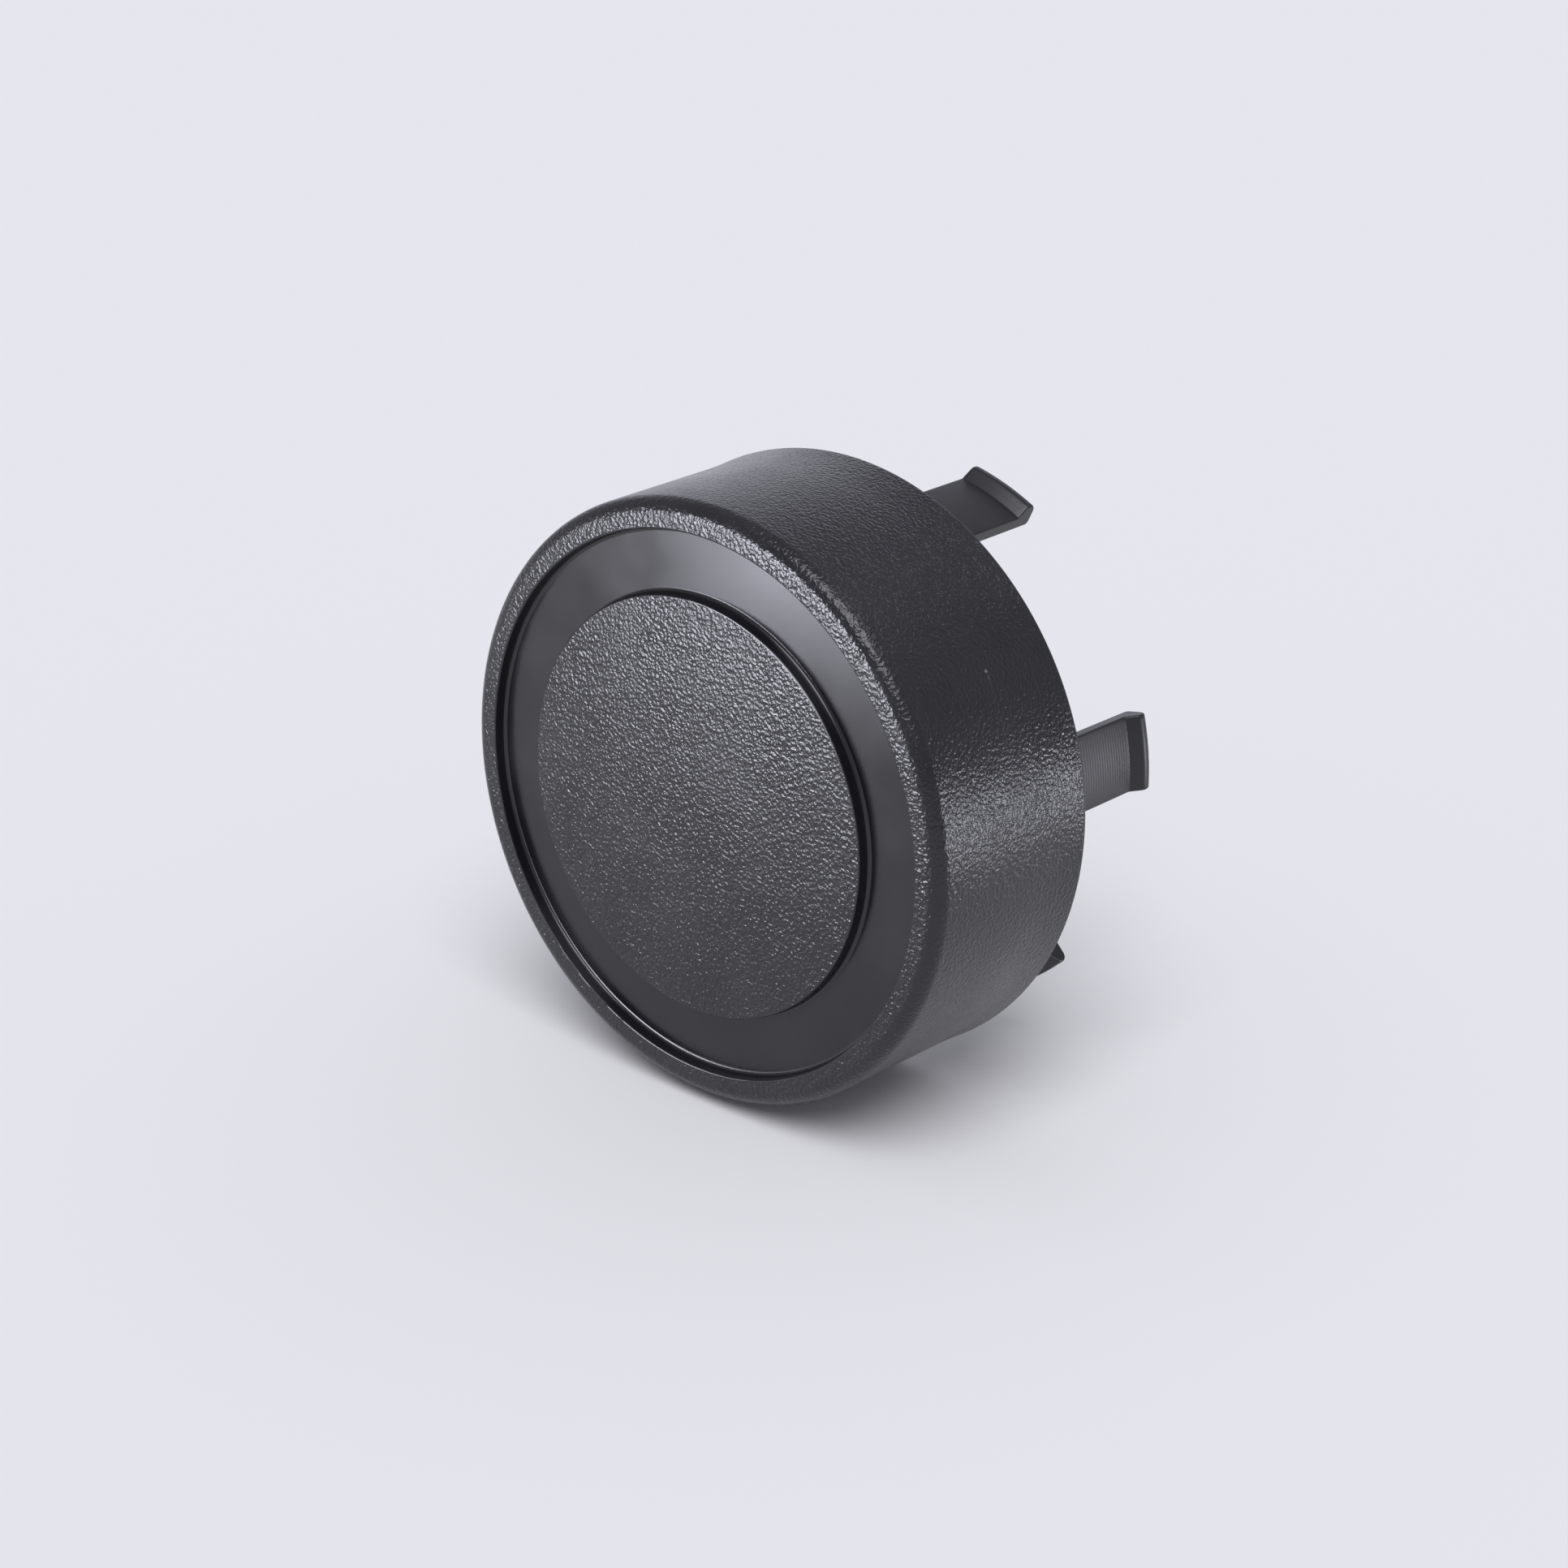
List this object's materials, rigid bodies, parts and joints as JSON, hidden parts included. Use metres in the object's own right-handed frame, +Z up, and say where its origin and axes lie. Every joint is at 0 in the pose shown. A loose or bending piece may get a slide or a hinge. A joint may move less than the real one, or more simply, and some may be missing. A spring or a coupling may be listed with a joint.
{
  "type": "wheel centre cap",
  "caption": "Black plastic wheel centre cap: a cupped, slightly flared skirt with a rounded rim, a sunk smooth ring round a raised plain disc, and barbed snap clips behind.",
  "frame": {"origin": "on the cap's axis, in the plane of the skirt's rear edge that seats on the wheel", "axes": "+Y along the axis towards the clips and the wheel, so the face looks along -Y; +Z up as on a wheel"},
  "size_m": [0.115, 0.0628, 0.115],
  "materials": {
    "black_plastic": "injection moulded, fine leather grain on skirt, rim, lip and disc, smooth satin on ring and clips"
  },
  "bodies": {
    "root": {"centre_cap": "black_plastic"}
  },
  "joints": []
}
